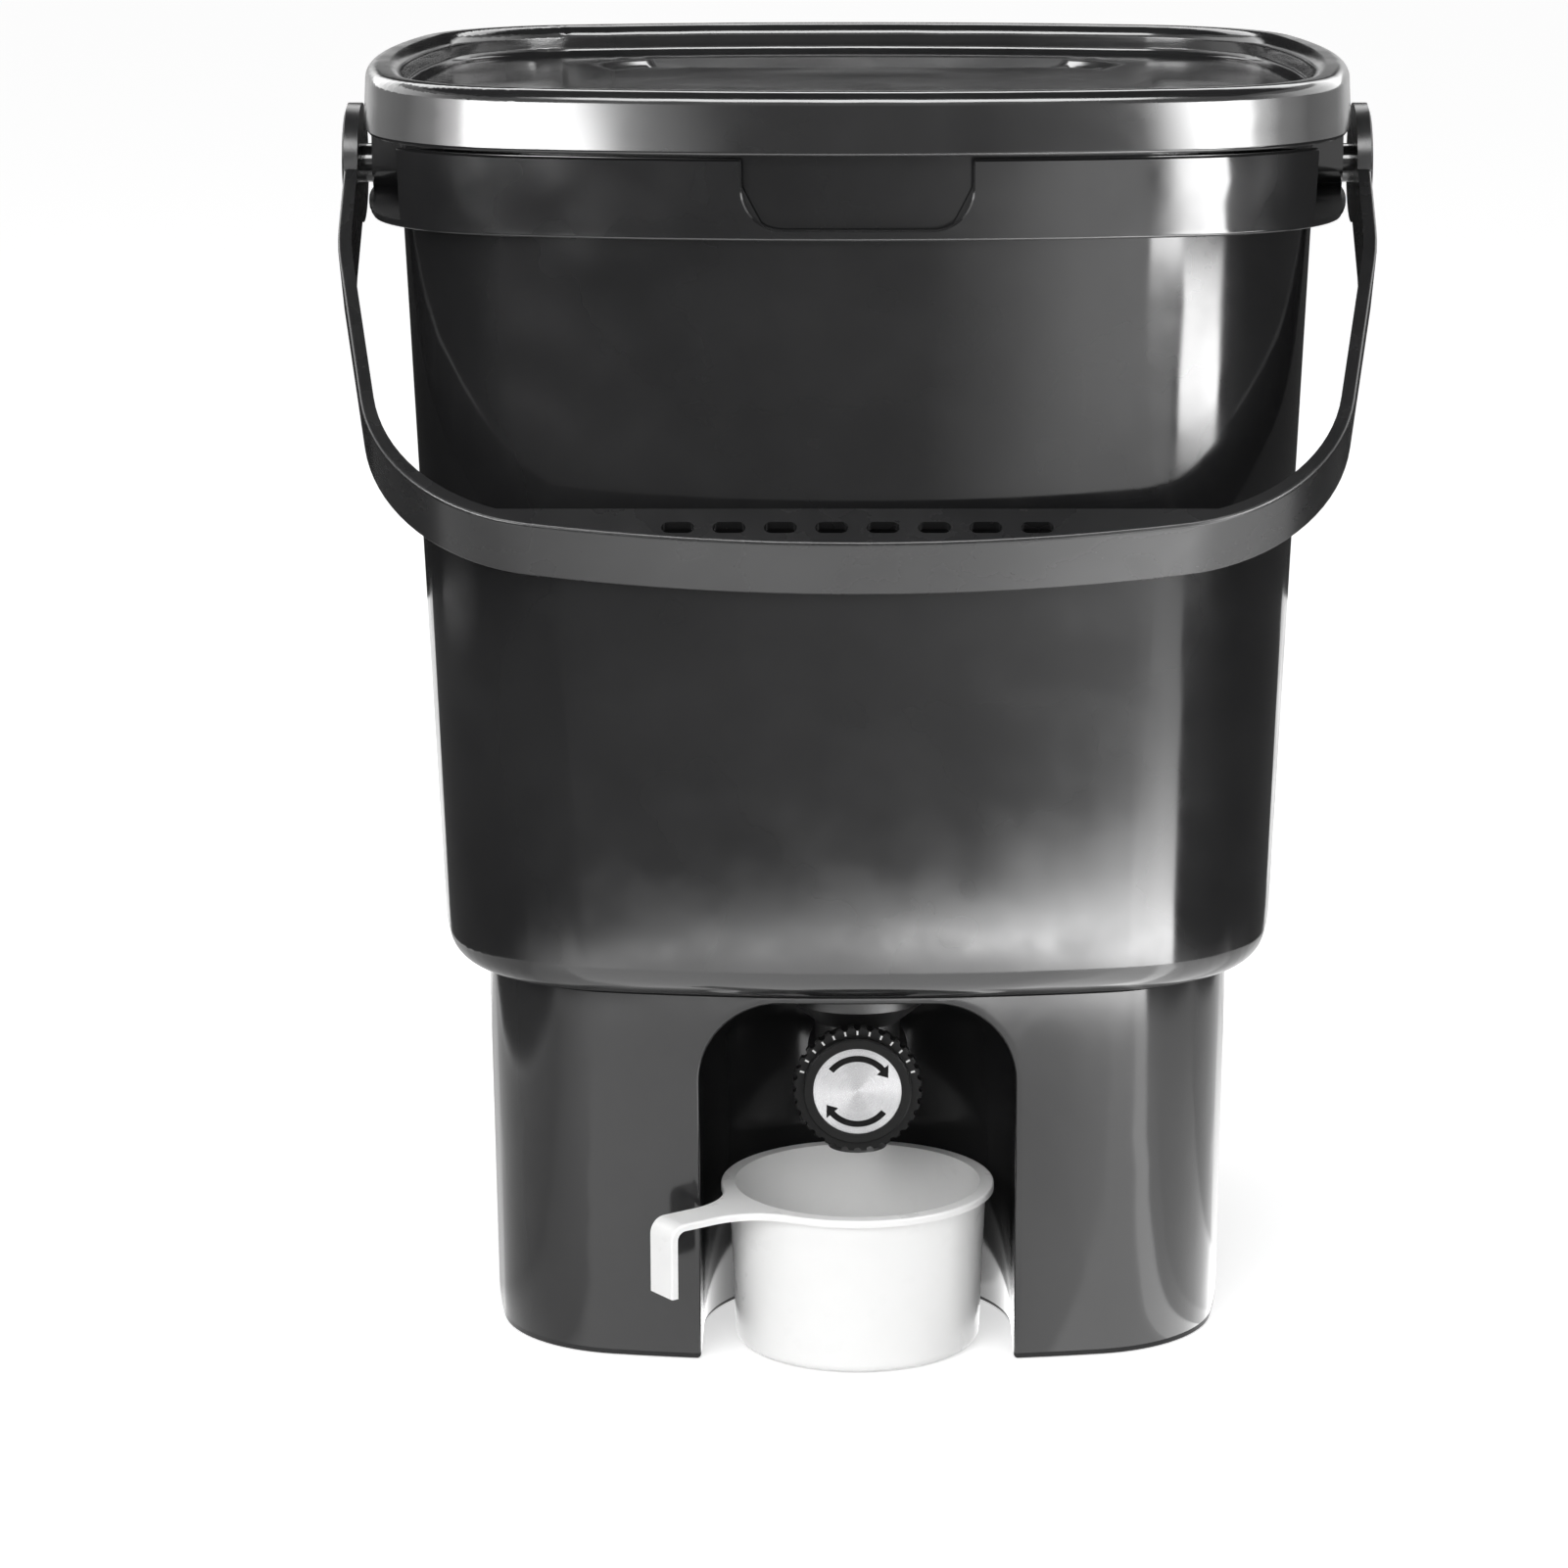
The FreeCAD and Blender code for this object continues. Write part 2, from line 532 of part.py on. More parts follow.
def make_lid():
    shell = block(lid_outline, SKIRT_Z, LID_TOP)
    shell = shell.makeFillet(LID_RIM_ROUND, level_edges(shell, LID_TOP))
    shell = shell.makeFillet(LID_EDGE_ROUND, level_edges(shell, SKIRT_Z))
    floor_z = LID_TOP - LID_RECESS
    under_z = floor_z - LID_WALL
    recess = block(lid_outline, floor_z, LID_TOP, -LID_RIM_WIDTH)
    recess = recess.makeFillet(LID_FLOOR_ROUND, level_edges(recess, floor_z))
    shell = shell.cut(recess)
    shell = shell.makeFillet(LID_RIM_ROUND, edges_on(shell, lid_outline(LID_TOP, -LID_RIM_WIDTH)))
    cavity = block(lid_outline, SKIRT_Z, under_z, -LID_WALL)
    channel = block(lid_outline, under_z, LID_TOP - LID_WALL, -LID_WALL)
    channel = channel.cut(block(lid_outline, under_z, LID_TOP - LID_WALL, LID_WALL - LID_RIM_WIDTH))
    shell = shell.cut([cavity, channel])

    def panel_outline(z, grow):
        return bowed_outline(PANEL_HALF_WIDTH, PANEL_HALF_DEPTH, PANEL_CORNER, z, grow)

    pad = Part.Face(panel_outline(under_z - PANEL_SINK, 0)).extrude(Vector(0, 0, PANEL_SINK))
    panel_edge = panel_outline(floor_z - PANEL_SINK, -PANEL_SLOPE)
    sink = Part.makeLoft([panel_edge, panel_outline(floor_z, 0)], True, True)
    return shell.fuse(pad).cut(sink).removeSplitter()


def make_lid_seal():
    grow_out = -LID_WALL - SEAL_CLEARANCE
    grow_in = LID_WALL - LID_RIM_WIDTH + SEAL_CLEARANCE
    ring = block(lid_outline, UPSTAND_TOP, UPSTAND_TOP + SEAL_THICKNESS, grow_out)
    return ring.cut(block(lid_outline, UPSTAND_TOP, UPSTAND_TOP + SEAL_THICKNESS, grow_in))


def handle_edge(inset):
    """Half of the handle's plan line, from the pivot to the middle of the grip, moved in by inset."""
    lean = math.radians(HANDLE_LEAN)
    along = Vector(-math.sin(lean), -math.cos(lean), 0)
    inward = Vector(-math.cos(lean), math.sin(lean), 0)
    outer = ARM_OUTER - inset
    bow = GRIP_BOW - inset
    corner = HANDLE_CORNER - inset
    knee = HANDLE_KNEE_RADIUS - inset
    bow_centre = Vector(0, GRIP_BOW - HANDLE_REACH, 0)
    knee_centre = Vector(ARM_OUTER - HANDLE_KNEE_RADIUS, -HANDLE_KNEE, 0)
    lean_start = knee_centre - inward * knee
    half_lean = math.radians(HANDLE_LEAN / 2)
    knee_middle = knee_centre + Vector(math.cos(half_lean), -math.sin(half_lean), 0) * knee
    # The corner's centre is one corner radius inside the leaning line and the bowed grip
    base = lean_start + inward * corner - bow_centre
    reach = bow - corner
    middle = base.dot(along)
    travel = -middle + math.sqrt(middle ** 2 - base.Length ** 2 + reach ** 2)
    corner_centre = bow_centre + base + along * travel
    lean_end = lean_start + along * travel
    to_grip = (corner_centre - bow_centre).normalize()
    grip_start = bow_centre + to_grip * bow
    corner_middle = corner_centre + (to_grip - inward).normalize() * corner
    grip_sweep = math.asin(to_grip.x) / 2
    grip_middle = bow_centre + Vector(math.sin(grip_sweep), -math.cos(grip_sweep), 0) * bow
    grip_end = bow_centre - Vector(0, bow, 0)
    return [
        Part.LineSegment(Vector(outer, 0, 0), Vector(outer, -HANDLE_KNEE, 0)).toShape(),
        Part.Arc(Vector(outer, -HANDLE_KNEE, 0), knee_middle, lean_start).toShape(),
        Part.LineSegment(lean_start, lean_end).toShape(),
        Part.Arc(lean_end, corner_middle, grip_start).toShape(),
        Part.Arc(grip_start, grip_middle, grip_end).toShape(),
    ]


def make_handle():
    outside = handle_edge(0.0)
    inside = handle_edge(ARM_THICKNESS)
    top_end = Part.LineSegment(Vector(ARM_OUTER, 0, 0), Vector(ARM_INNER, 0, 0)).toShape()
    inner_y = -HANDLE_REACH + ARM_THICKNESS
    middle_end = Part.LineSegment(Vector(0, -HANDLE_REACH, 0), Vector(0, inner_y, 0)).toShape()
    half_plan = Part.Face(Part.Wire(Part.sortEdges(outside + inside + [top_end, middle_end])[0]))
    strap = half_plan.extrude(Vector(0, 0, HANDLE_WIDTH))
    strap.translate(Vector(0, 0, -HANDLE_WIDTH / 2))
    outer_wall = Part.Wire(outside).extrude(Vector(0, 0, HANDLE_WIDTH))
    outer_wall.translate(Vector(0, 0, -HANDLE_WIDTH / 2))
    long_edges = level_edges(strap, HANDLE_WIDTH / 2) + level_edges(strap, -HANDLE_WIDTH / 2)
    strap = strap.makeFillet(HANDLE_EDGE_ROUND, [edge for edge in long_edges if lies_on(edge, outer_wall)])

    # Web behind the grip's upper edge, from the strap to a straight inner edge
    web_low = HANDLE_WIDTH / 2 - GRIP_WEB_THICKNESS
    loop = inside + [
        Part.LineSegment(Vector(ARM_INNER, 0, 0), Vector(0, 0, 0)).toShape(),
        Part.LineSegment(Vector(0, 0, 0), Vector(0, inner_y, 0)).toShape(),
    ]
    inside_face = Part.Face(Part.Wire(Part.sortEdges(loop)[0]))
    web = inside_face.extrude(Vector(0, 0, GRIP_WEB_THICKNESS))
    web.translate(Vector(0, 0, web_low))
    web = web.common(box(0, ARM_OUTER, -HANDLE_REACH, -GRIP_INNER, web_low, HANDLE_WIDTH))

    hub_inner = Vector(ARM_INNER, 0, 0)
    hub_outer = Vector(ARM_OUTER, 0, 0)
    hub = rod(HUB_RADIUS, hub_inner, hub_outer)
    dome = cone(HUB_RADIUS, HUB_RADIUS - HUB_BEVEL, hub_outer, hub_outer + Vector(HUB_DOME, 0, 0))
    half = strap.fuse([web, hub, dome])
    socket_end = Vector(PIVOT_END + PIVOT_END_GAP, 0, 0)
    half = half.cut(rod(PIVOT_RADIUS + PIVOT_CLEARANCE, hub_inner, socket_end))
    solid = half.fuse(half.mirror(Vector(0, 0, 0), Vector(1, 0, 0))).removeSplitter()

    slot_y = inner_y + GRIP_SLOT_WIDTH / 2 + GRIP_SLOT_MARGIN
    slots = []
    for i in range(GRIP_SLOTS):
        x = (i - (GRIP_SLOTS - 1) / 2) * GRIP_SLOT_PITCH
        slots.append(slot_cutter(GRIP_SLOT_LENGTH, GRIP_SLOT_WIDTH, x, slot_y, web_low, HANDLE_WIDTH / 2))
    solid = solid.cut(slots)
    solid.rotate(Vector(0, 0, 0), Vector(1, 0, 0), hanging_tilt())
    solid.translate(Vector(0, 0, PIVOT_Z))
    return solid


def on_upright(z):
    """Point on the tap's upright axis."""
    return Vector(0, TAP_Y, z)


def on_level(y):
    """Point on the tap's level axis, which the plug and the knob turn about."""
    return Vector(0, y, TAP_HEIGHT)


def make_tap_body():
    top = ALCOVE_TOP - WASHER_THICKNESS
    flange_low = top - TAP_FLANGE_THICKNESS
    tail_top = FLOOR_TOP + WASHER_THICKNESS + NUT_HEIGHT + TAIL_STICKOUT
    tail = rod(TAIL_RADIUS, on_upright(top), on_upright(tail_top))
    flange = rod(FLANGE_RADIUS, on_upright(flange_low), on_upright(top))
    flare = cone(NECK_RADIUS, FLANGE_RADIUS, on_upright(flange_low - NECK_FLARE), on_upright(flange_low))
    neck = rod(NECK_RADIUS, on_upright(TAP_HEIGHT), on_upright(flange_low))
    barrel = rod(BARREL_RADIUS, on_level(BARREL_FRONT), on_level(BARREL_BACK))
    spout = cone(SPOUT_TIP_RADIUS, SPOUT_RADIUS, on_upright(SPOUT_END), on_upright(TAP_HEIGHT))
    waterway = rod(WATERWAY_RADIUS, on_upright(SPOUT_END), on_upright(tail_top))
    bore = rod(PLUG_RADIUS + PLUG_CLEARANCE, on_level(BARREL_FRONT), on_level(BARREL_BACK))
    return tail.fuse([flange, flare, neck, barrel, spout]).cut([waterway, bore]).removeSplitter()


def washer(z):
    ring = rod(WASHER_RADIUS, on_upright(z), on_upright(z + WASHER_THICKNESS))
    return ring.cut(rod(TAIL_RADIUS + TAIL_FIT, on_upright(z), on_upright(z + WASHER_THICKNESS)))


def make_tap_nut():
    low = FLOOR_TOP + WASHER_THICKNESS
    radius = NUT_FLAT_RADIUS / math.cos(math.pi / 6)
    corners = []
    for i in range(7):
        angle = i * math.pi / 3
        corners.append(on_upright(low) + Vector(math.cos(angle), math.sin(angle), 0) * radius)
    hexagon = Part.Face(Part.makePolygon(corners)).extrude(Vector(0, 0, NUT_HEIGHT))
    return hexagon.cut(rod(TAIL_RADIUS + TAIL_FIT, on_upright(low), on_upright(low + NUT_HEIGHT)))


def o_ring_places():
    return [BARREL_FRONT + O_RING_INSET, BARREL_BACK - O_RING_INSET]


def groove(radius, start, end):
    """Cutter for a groove round the plug, down to a radius."""
    return rod(PLUG_RADIUS, start, end).cut(rod(radius, start, end))


def make_tap_plug():
    clip_y = BARREL_BACK + CLIP_END_GAP
    body = rod(PLUG_RADIUS, on_level(KNOB_BACK), on_level(clip_y + 2 * CLIP_THICKNESS))
    half = DRIVE_SQUARE / 2
    drive = box(-half, half, DRIVE_FRONT, KNOB_BACK, TAP_HEIGHT - half, TAP_HEIGHT + half)
    across = Vector(PLUG_RADIUS, 0, 0)
    port = rod(WATERWAY_RADIUS, on_level(TAP_Y) - across, on_level(TAP_Y) + across)
    ring_room = O_RING_SECTION + O_RING_FLOAT
    grooves = [groove(CLIP_GROOVE_RADIUS, on_level(clip_y), on_level(clip_y + CLIP_THICKNESS))]
    for y in o_ring_places():
        grooves.append(groove(PLUG_RADIUS - 2 * ring_room, on_level(y - ring_room), on_level(y + ring_room)))
    screw_end = DRIVE_FRONT + KNOB_SCREW_DEPTH + KNOB_SCREW_ROOM
    screw_hole = rod(SCREW_RADIUS + SCREW_BITE, on_level(DRIVE_FRONT), on_level(screw_end))
    return body.fuse(drive).cut(grooves + [port, screw_hole]).removeSplitter()


def make_plug_o_rings():
    middle = PLUG_RADIUS - O_RING_SECTION - O_RING_FLOAT
    axis = Vector(0, 1, 0)
    rings = [Part.makeTorus(middle, O_RING_SECTION, on_level(y), axis) for y in o_ring_places()]
    return Part.makeCompound(rings)


def make_plug_clip():
    start = BARREL_BACK + CLIP_END_GAP
    end = start + CLIP_THICKNESS
    ring = rod(CLIP_RADIUS, on_level(start), on_level(end))
    ring = ring.cut(rod(CLIP_GROOVE_RADIUS, on_level(start), on_level(end)))
    half = CLIP_MOUTH / 2
    return ring.cut(box(-half, half, start, end, TAP_HEIGHT - CLIP_RADIUS, TAP_HEIGHT))


def make_tap_knob():
    flange_front = KNOB_FRONT + KNOB_RING_HEIGHT
    flange_back = flange_front + KNOB_FLANGE_THICKNESS
    skirt = rod(KNOB_SKIRT_RADIUS, on_level(flange_back), on_level(KNOB_BACK))
    flange = rod(KNOB_RADIUS, on_level(flange_front), on_level(flange_back))
    flange = flange.makeChamfer(KNOB_EDGE_BEVEL, facing_edges(flange, flange_front))
    ring = rod(KNOB_RING_RADIUS, on_level(KNOB_FRONT), on_level(flange_front))
    ring = ring.makeChamfer(KNOB_EDGE_BEVEL, facing_edges(ring, KNOB_FRONT))
    pocket_floor = KNOB_FRONT + DISC_SETBACK + DISC_THICKNESS
    pocket = rod(DISC_RADIUS + DISC_CLEARANCE, on_level(KNOB_FRONT), on_level(pocket_floor))
    half = DRIVE_SQUARE / 2 + DRIVE_CLEARANCE
    socket = box(-half, half, DRIVE_FRONT, KNOB_BACK, TAP_HEIGHT - half, TAP_HEIGHT + half)
    seat = on_level(DRIVE_FRONT - KNOB_SEAT_WALL)
    counterbore = rod(SCREW_HEAD_RADIUS + SCREW_CLEARANCE, on_level(KNOB_FRONT), seat)
    through = rod(SCREW_RADIUS + SCREW_CLEARANCE, on_level(KNOB_FRONT), on_level(KNOB_BACK))
    cutters = [pocket, socket, counterbore, through]
    for i in range(KNOB_TEETH):
        angle = 2 * math.pi * i / KNOB_TEETH
        edge = Vector(math.cos(angle), 0, math.sin(angle)) * KNOB_RADIUS
        cutters.append(rod(KNOB_TOOTH_RADIUS, on_level(flange_front) + edge, on_level(flange_back) + edge))
    return skirt.fuse([flange, ring]).cut(cutters).removeSplitter()


def make_knob_disc():
    face = KNOB_FRONT + DISC_SETBACK
    return rod(DISC_RADIUS, on_level(face), on_level(face + DISC_THICKNESS))


def make_knob_screw():
    seat = DRIVE_FRONT - KNOB_SEAT_WALL
    head = rod(SCREW_HEAD_RADIUS, on_level(seat - SCREW_HEAD_HEIGHT), on_level(seat))
    shank = rod(SCREW_RADIUS, on_level(seat), on_level(DRIVE_FRONT + KNOB_SCREW_DEPTH))
    return head.fuse(shank).removeSplitter()


def centred(pitch, room):
    """Places either side of zero, a pitch apart, as many as a half width has room for."""
    each_side = int(room // pitch)
    return [pitch * i for i in range(-each_side, each_side + 1)]


def make_strainer():
    low = FLOOR_TOP + STRAINER_LEG
    high = low + STRAINER_THICKNESS
    outline = bucket_outline(low, -BUCKET_WALL - STRAINER_GAP)
    plate = Part.Face(outline).extrude(Vector(0, 0, STRAINER_THICKNESS))
    columns = centred(SLOT_PITCH_X, (BUCKET_WIDTH - SLOT_LENGTH) / 2 - SLOT_MARGIN)
    rows = centred(SLOT_PITCH_Y, (BUCKET_DEPTH - SLOT_WIDTH) / 2 - SLOT_MARGIN)
    slots = [slot_cutter(SLOT_LENGTH, SLOT_WIDTH, x, y, low, high) for x in columns for y in rows]
    legs = []
    for x, y in screw_places():
        foot = Vector(x - math.copysign(STRAINER_LEG_INSET, x), y, FLOOR_TOP)
        legs.append(rod(STRAINER_LEG_RADIUS, foot, foot + Vector(0, 0, STRAINER_LEG)))
    return plate.cut(slots).fuse(legs).removeSplitter()


def make_cup():
    def turned(points):
        corners = [Vector(r, 0, z) for r, z in points]
        profile = Part.Face(Part.makePolygon(corners + corners[:1]))
        return profile.revolve(Vector(0, 0, 0), Vector(0, 0, 1), 360)

    rim_low = CUP_HEIGHT - CUP_RIM_THICKNESS
    outer = turned(
        [
            (0, 0),
            (CUP_BASE_RADIUS, 0),
            (CUP_TOP_RADIUS, rim_low),
            (CUP_RIM_RADIUS, rim_low),
            (CUP_RIM_RADIUS, CUP_HEIGHT),
            (0, CUP_HEIGHT),
        ]
    )
    outer = outer.makeFillet(CUP_BASE_ROUND, level_edges(outer, 0))
    inner = turned(
        [
            (0, CUP_WALL),
            (CUP_BASE_RADIUS - CUP_WALL, CUP_WALL),
            (CUP_TOP_RADIUS - CUP_WALL, CUP_HEIGHT),
            (0, CUP_HEIGHT),
        ]
    )
    cup = outer.fuse(make_cup_handle()).removeSplitter()
    cup = cup.makeFillet(CUP_RIM_ROUND, level_edges(cup, CUP_HEIGHT)).cut(inner)
    cup.rotate(Vector(0, 0, 0), Vector(0, 0, 1), 180 + CUP_HANDLE_ANGLE)
    cup.translate(Vector(0, CUP_Y, 0))
    return cup


def make_cup_handle():
    """Strap that leaves the rim along +X, narrows, and bends down at its end."""
    top = CUP_HEIGHT
    thick = CUP_RIM_THICKNESS
    half = CUP_HANDLE_WIDTH / 2
    # Each flare is an arc that touches the strap's side and the outside of the rim
    flare = CUP_HANDLE_FLARE
    flare_y = half + flare
    flare_x = math.sqrt((CUP_RIM_RADIUS + flare) ** 2 - flare_y ** 2)
    flare_centre = Vector(flare_x, flare_y, 0)
    on_rim = flare_centre * (CUP_RIM_RADIUS / (CUP_RIM_RADIUS + flare))
    on_strap = Vector(flare_x, half, 0)
    between = flare_centre + (on_rim + on_strap - flare_centre * 2).normalize() * flare
    root = on_rim.y
    end = CUP_HANDLE_REACH
    bar = box(0, end, -root, root, top - CUP_HANDLE_DROP, top)
    bend = edges_on(bar, Part.makeLine(Vector(end, -root, top), Vector(end, root, top)))
    bar = bar.makeFillet(CUP_HANDLE_BEND, bend)
    hollow = box(0, end - thick, -root, root, 0, top - thick)
    inner_corner = Vector(end - thick, 0, top - thick)
    across = Vector(0, root, 0)
    inner_bend = edges_on(hollow, Part.makeLine(inner_corner - across, inner_corner + across))
    hollow = hollow.makeFillet(CUP_HANDLE_BEND - thick, inner_bend)
    strap = bar.cut(hollow)
    tip = Vector(end, half, 0)
    middle = Vector(0, 0, 0)
    tip_middle = Vector(end, 0, 0)
    half_plan = Part.Face(
        Part.Wire(
            [
                Part.LineSegment(middle, on_rim).toShape(),
                Part.Arc(on_rim, between, on_strap).toShape(),
                Part.LineSegment(on_strap, tip).toShape(),
                Part.LineSegment(tip, tip_middle).toShape(),
                Part.LineSegment(tip_middle, middle).toShape(),
            ]
        )
    )
    half_shape = half_plan.extrude(Vector(0, 0, top))
    shape = half_shape.fuse(half_shape.mirror(Vector(0, 0, 0), Vector(0, 1, 0))).removeSplitter()
    return strap.common(shape)


def main():
    os.makedirs("parts", exist_ok=True)
    nodes = {
        "bucket": make_bucket(),
        "stand": make_stand(),
        "stand_screws": make_stand_screws(),
        "lid": make_lid(),
        "lid_seal": make_lid_seal(),
        "handle": make_handle(),
        "tap_body": make_tap_body(),
        "tap_outer_washer": washer(ALCOVE_TOP - WASHER_THICKNESS),
        "tap_inner_washer": washer(FLOOR_TOP),
        "tap_nut": make_tap_nut(),
        "tap_plug": make_tap_plug(),
        "plug_o_rings": make_plug_o_rings(),
        "plug_clip": make_plug_clip(),
        "tap_knob": make_tap_knob(),
        "knob_disc": make_knob_disc(),
        "knob_screw": make_knob_screw(),
        "strainer": make_strainer(),
        "drip_cup": make_cup(),
    }
    for name, shape in nodes.items():
        shape.exportStep(f"parts/{name}.step")


main()
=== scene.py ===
import math

import bmesh
import bpy
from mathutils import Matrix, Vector


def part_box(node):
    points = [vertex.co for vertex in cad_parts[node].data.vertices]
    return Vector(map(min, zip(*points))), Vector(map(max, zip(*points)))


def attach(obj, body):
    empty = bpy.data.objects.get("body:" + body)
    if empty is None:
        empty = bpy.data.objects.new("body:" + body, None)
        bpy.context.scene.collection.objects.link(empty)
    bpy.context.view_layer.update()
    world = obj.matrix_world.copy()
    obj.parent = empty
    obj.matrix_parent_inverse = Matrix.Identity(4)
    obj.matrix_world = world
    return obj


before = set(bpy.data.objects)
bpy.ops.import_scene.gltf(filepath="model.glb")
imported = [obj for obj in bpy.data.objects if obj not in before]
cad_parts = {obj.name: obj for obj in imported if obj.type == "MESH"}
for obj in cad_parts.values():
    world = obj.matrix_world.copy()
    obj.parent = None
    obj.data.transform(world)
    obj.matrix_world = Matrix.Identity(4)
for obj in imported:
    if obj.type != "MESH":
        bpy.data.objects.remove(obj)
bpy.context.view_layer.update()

# Bucket: the tall tub for the scraps, with its rim, shelf, apron, finger notch and handle studs.
# Moulded in one shot from black plastic in a polished mould, so it is glossy, with faint sink waves
# in the walls and fine rubbing marks. The stand is screwed up into its floor.


def noise(tree, place, scale, detail):
    """Soft cloud pattern in the piece's own space, with a scale in blotches per metre."""
    texture = tree.nodes.new("ShaderNodeTexNoise")
    texture.inputs["Scale"].default_value = scale
    texture.inputs["Detail"].default_value = detail
    tree.links.new(place, texture.inputs["Vector"])
    return texture.outputs["Fac"]


def spread(tree, value, low, high):
    """The middle of a cloud pattern drawn out to run from a low value to a high one."""
    stretch = tree.nodes.new("ShaderNodeMapRange")
    stretch.inputs["From Min"].default_value = 0.3
    stretch.inputs["From Max"].default_value = 0.7
    stretch.inputs["To Min"].default_value = low
    stretch.inputs["To Max"].default_value = high
    tree.links.new(value, stretch.inputs["Value"])
    return stretch.outputs["Result"]


def shades(tree, value, dark, pale):
    """Colour that drifts between two shades with a pattern."""
    ramp = tree.nodes.new("ShaderNodeValToRGB")
    first, last = ramp.color_ramp.elements
    first.position = 0.35
    last.position = 0.65
    first.color = (*dark, 1.0)
    last.color = (*pale, 1.0)
    tree.links.new(value, ramp.inputs["Fac"])
    return ramp.outputs["Color"]


def relief(tree, height, depth, below=None):
    """Small unevenness of the surface, as deep as given in metres, on top of any relief below it."""
    bump = tree.nodes.new("ShaderNodeBump")
    bump.inputs["Distance"].default_value = depth
    bump.inputs["Strength"].default_value = 1.0
    tree.links.new(height, bump.inputs["Height"])
    if below:
        tree.links.new(below, bump.inputs["Normal"])
    return bump.outputs["Normal"]


def blank_material(name):
    """New material, with its node tree, its shader and its place in the piece's own space."""
    material = bpy.data.materials.new(name)
    material.use_nodes = True
    tree = material.node_tree
    place = tree.nodes.new("ShaderNodeTexCoord").outputs["Object"]
    return material, tree, tree.nodes["Principled BSDF"], place


def moulded_plastic(name, dark, pale, polish, wave_depth, grain_depth, shine_index=1.5):
    """Moulded plastic: drifting shade, rubbed and clean patches, sink waves and a fine grain."""
    material, tree, shader, place = blank_material(name)
    drift = noise(tree, place, scale=18.0, detail=4.0)
    tree.links.new(shades(tree, drift, dark, pale), shader.inputs["Base Color"])
    rubbed = noise(tree, place, scale=55.0, detail=8.0)
    tree.links.new(spread(tree, rubbed, *polish), shader.inputs["Roughness"])
    waves = relief(tree, noise(tree, place, scale=9.0, detail=1.0), wave_depth)
    grain = relief(tree, noise(tree, place, scale=2600.0, detail=2.0), grain_depth, waves)
    tree.links.new(grain, shader.inputs["Normal"])
    shader.inputs["IOR"].default_value = shine_index
    return material


def smooth_moulding():
    """Joins a piece's faces along their seams and shades smoothly over all but its true edges."""
    seam_gap = 2e-6
    true_edge = math.radians(28)
    group = bpy.data.node_groups.new("smooth_moulding", "GeometryNodeTree")
    group.interface.new_socket("Geometry", in_out="INPUT", socket_type="NodeSocketGeometry")
    group.interface.new_socket("Geometry", in_out="OUTPUT", socket_type="NodeSocketGeometry")
    start = group.nodes.new("NodeGroupInput")
    end = group.nodes.new("NodeGroupOutput")
    weld = group.nodes.new("GeometryNodeMergeByDistance")
    weld.inputs["Distance"].default_value = seam_gap
    smooth_faces = group.nodes.new("GeometryNodeSetShadeSmooth")
    smooth_edges = group.nodes.new("GeometryNodeSetShadeSmooth")
    smooth_edges.domain = "EDGE"
    angle = group.nodes.new("GeometryNodeInputMeshEdgeAngle")
    gentle = group.nodes.new("FunctionNodeCompare")
    gentle.operation = "LESS_THAN"
    gentle.inputs["B"].default_value = true_edge
    group.links.new(angle.outputs["Unsigned Angle"], gentle.inputs["A"])
    group.links.new(gentle.outputs["Result"], smooth_edges.inputs["Shade Smooth"])
    group.links.new(start.outputs[0], weld.inputs["Geometry"])
    group.links.new(weld.outputs["Geometry"], smooth_faces.inputs["Geometry"])
    group.links.new(smooth_faces.outputs["Geometry"], smooth_edges.inputs["Geometry"])
    group.links.new(smooth_edges.outputs["Geometry"], end.inputs[0])
    return group


seams = smooth_moulding()


def dress(node, material):
    """Gives a piece of the frame its finish and smooth shading."""
    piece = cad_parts[node]
    if piece.material_slots:
        for material_slot in piece.material_slots:
            material_slot.material = material
    else:
        piece.data.materials.append(material)
    piece.modifiers.new("seams", "NODES").node_group = seams
    shading = piece.modifiers.new("shading", "WEIGHTED_NORMAL")
    shading.keep_sharp = True


gloss_black = moulded_plastic(
    "gloss_black",
    dark=(0.012, 0.012, 0.0125),
    pale=(0.018, 0.018, 0.0185),
    polish=(0.09, 0.16),
    wave_depth=0.00006,
    grain_depth=0.0000012,
)
dress("bucket", gloss_black)

# Stand: the lower body, a hollow skirt with an arched alcove for the tap. Moulded in the same black
# plastic as the bucket with a softer shine, set in a step from the bucket's wall and screwed to it.
gloss_black_stand = moulded_plastic(
    "gloss_black_stand",
    dark=(0.016, 0.016, 0.0165),
    pale=(0.023, 0.023, 0.0235),
    polish=(0.1, 0.14),
    wave_depth=0.0001,
    grain_depth=0.000002,
    shine_index=1.36,
)
dress("stand", gloss_black_stand)

# Stand screws: four self-tapping screws in plain bright steel, driven up through the stand's top
# into bosses on the bucket's floor.


def plain_metal(name, dark, pale, polish):
    """Bare metal with small stains and finer rubbed spots."""
    material, tree, shader, place = blank_material(name)
    stains = noise(tree, place, scale=300.0, detail=6.0)
    tree.links.new(shades(tree, stains, dark, pale), shader.inputs["Base Color"])
    rubbed = noise(tree, place, scale=900.0, detail=8.0)
    tree.links.new(spread(tree, rubbed, *polish), shader.inputs["Roughness"])
    shader.inputs["Metallic"].default_value = 1.0
    return material


bright_steel = plain_metal(
    "bright_steel",
    dark=(0.48, 0.48, 0.47),
    pale=(0.62, 0.62, 0.61),
    polish=(0.2, 0.4),
)
dress("stand_screws", bright_steel)

